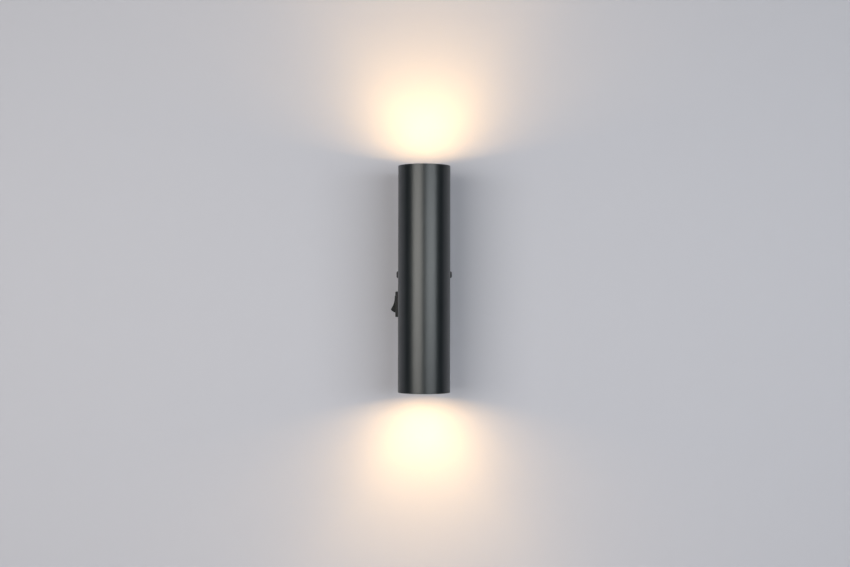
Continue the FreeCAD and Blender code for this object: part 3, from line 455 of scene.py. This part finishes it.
def make_world():
    """Pale where the camera sees it, also by reflection or through something clear, and dim as light."""
    world = bpy.data.worlds.new("studio")
    world.use_nodes = True
    bpy.context.scene.world = world
    tree = world.node_tree
    light = tree.nodes["Background"]
    light.inputs["Color"].default_value = WORLD_LIGHT
    light.inputs["Strength"].default_value = WORLD_STRENGTH
    seen = tree.nodes.new("ShaderNodeBackground")
    seen.inputs["Color"].default_value = WORLD_SEEN
    path = tree.nodes.new("ShaderNodeLightPath")
    either = path.outputs["Is Camera Ray"]
    for other in ("Is Glossy Ray", "Is Transmission Ray"):
        greater = tree.nodes.new("ShaderNodeMath")
        greater.operation = "MAXIMUM"
        tree.links.new(either, greater.inputs[0])
        tree.links.new(path.outputs[other], greater.inputs[1])
        either = greater.outputs[0]
    mix = tree.nodes.new("ShaderNodeMixShader")
    tree.links.new(either, mix.inputs[0])
    tree.links.new(light.outputs[0], mix.inputs[1])
    tree.links.new(seen.outputs[0], mix.inputs[2])
    tree.links.new(mix.outputs[0], tree.nodes["World Output"].inputs["Surface"])


# Dressing the CAD nodes.
def dress_nodes(materials):
    for row in frame["record"]["subparts"]:
        node = frame["nodes"][row["node"]]
        node.data.materials.clear()
        node.data.materials.append(materials[row["material_slot"]])


# Detailed pieces that stand for CAD nodes.
BODIES = frame["record"]["behaviour"]["bodies"]
BODY_OF = {name: body for body, names in BODIES.items() for name in names}
SLOT_OF = {row["node"]: row["material_slot"] for row in frame["record"]["subparts"]}

SAME_PLACE = 1e-6
SAME_LENS_PLACE = 1e-7
FLAT_ANGLE = math.radians(1.0)
SHARP_ANGLE = math.radians(40)

# The width of each node's broken corners in metres, and their steps.
SOFTENED = {
    "switch_body": (0.00035, 3), "switch_rocker": (0.00045, 3), "side_screws": (0.00020, 2),
    "wall_bracket": (0.00025, 2), "terminal_block": (0.00030, 2),
    "earth_tag": (0.00010, 1), "tube_screws": (0.00015, 2), "block_screw": (0.00010, 2),
    "earth_screw": (0.00015, 2), "earth_nut": (0.00020, 2),
}

# How finely a lens is divided, round it and from its middle outwards.
LENS_TURNS = 180
LENS_RINGS = 96

# A lens's relief. Shares are of its radius, and depths are in metres below the rim.
RIM_SHARE = 0.93
SLOPE_SHARE = 0.03
MIDDLE_SHARE = 0.24
FIELD_DEPTH = 0.0009
MIDDLE_DEPTH = 0.0005
MIDDLE_FALL = 0.0004
DIMPLE_DEPTH = 0.00022
DIMPLE_RINGS = 10
DIMPLES_ROUND = 12
RING_GROWTH = 3


def show_instead(piece, node, materials):
    """The piece takes a node's place, motion and finish."""
    piece.data.materials.clear()
    piece.data.materials.append(materials[SLOT_OF[node]])
    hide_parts(node)
    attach(piece, BODY_OF[node])


def finish_modifiers(piece):
    """The piece keeps the shape that its modifiers make, and has none left."""
    depsgraph = bpy.context.evaluated_depsgraph_get()
    mesh = bpy.data.meshes.new_from_object(piece.evaluated_get(depsgraph))
    piece.modifiers.clear()
    piece.data = mesh


def soften_corners(node, width, steps, materials):
    """The node's shape with its sharp corners broken, as moulding and plating leave them."""
    mesh = frame["nodes"][node].data.copy()
    work = bmesh.new()
    work.from_mesh(mesh)
    bmesh.ops.remove_doubles(work, verts=work.verts, dist=SAME_PLACE)
    bmesh.ops.dissolve_limit(work, angle_limit=FLAT_ANGLE, verts=work.verts, edges=work.edges)
    work.to_mesh(mesh)
    work.free()
    if "custom_normal" in mesh.attributes:
        mesh.attributes.remove(mesh.attributes["custom_normal"])
    mesh.shade_smooth()
    piece = bpy.data.objects.new(f"{node}_detailed", mesh)
    bpy.context.scene.collection.objects.link(piece)
    corners = piece.modifiers.new("corners", "BEVEL")
    corners.width = width
    corners.segments = steps
    corners.limit_method = "ANGLE"
    corners.angle_limit = SHARP_ANGLE
    flats = piece.modifiers.new("flats", "WEIGHTED_NORMAL")
    flats.keep_sharp = True
    finish_modifiers(piece)
    show_instead(piece, node, materials)


def make_lens(node, side, materials):
    """A lamp's front lens: a raised rim and a field of shallow dimples round a plain, domed middle."""
    low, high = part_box(node)
    radius = (high.x - low.x) / 2
    face = max(abs(low.z), abs(high.z))
    foot = min(abs(low.z), abs(high.z))
    work = bmesh.new()
    rows = []
    for ring in range(LENS_RINGS + 1):
        share = ring / LENS_RINGS
        row = []
        for turn in range(LENS_TURNS):
            angle = 2 * math.pi * turn / LENS_TURNS
            x = share * radius * math.cos(angle)
            y = TUBE_AXIS_Y + share * radius * math.sin(angle)
            row.append(work.verts.new((x, y, side * (face - lens_relief(share, angle)))))
        rows.append(row)
    rows.append([work.verts.new((v.co.x, v.co.y, side * foot)) for v in rows[-1]])
    for inner, outer in zip(rows, rows[1:]):
        for turn in range(LENS_TURNS):
            after = (turn + 1) % LENS_TURNS
            work.faces.new((inner[turn], outer[turn], outer[after], inner[after]))
    work.faces.new(rows[-1])
    bmesh.ops.remove_doubles(work, verts=work.verts, dist=SAME_LENS_PLACE)
    bmesh.ops.recalc_face_normals(work, faces=work.faces)
    mesh = bpy.data.meshes.new(f"{node}_detailed")
    work.to_mesh(mesh)
    work.free()
    piece = bpy.data.objects.new(f"{node}_detailed", mesh)
    bpy.context.scene.collection.objects.link(piece)
    mesh.shade_smooth()
    mesh.set_sharp_from_angle(angle=SHARP_ANGLE)
    show_instead(piece, node, materials)


def lens_relief(share, angle):
    """How far the lens lies below its rim, in metres, at a share of its radius and an angle round it."""
    if share > RIM_SHARE:
        return 0.0
    if share > RIM_SHARE - SLOPE_SHARE:
        return FIELD_DEPTH * (RIM_SHARE - share) / SLOPE_SHARE
    if share < MIDDLE_SHARE:
        return MIDDLE_DEPTH + MIDDLE_FALL * (share / MIDDLE_SHARE) ** 2
    dimples_round = DIMPLES_ROUND * round(1 + share * RING_GROWTH)
    dimple = math.cos(share * math.pi * 2 * DIMPLE_RINGS) * math.cos(angle * dimples_round)
    return FIELD_DEPTH + DIMPLE_DEPTH * dimple


make_camera()
materials = make_materials()
dress_nodes(materials)
for name, (width, steps) in SOFTENED.items():
    soften_corners(name, width, steps, materials)
make_lens("upper_lamp_lens", 1, materials)
make_lens("lower_lamp_lens", -1, materials)
make_wall()
make_floor()
make_dark_room()
make_lights()
make_world()
bpy.context.scene.view_settings.view_transform = "Standard"
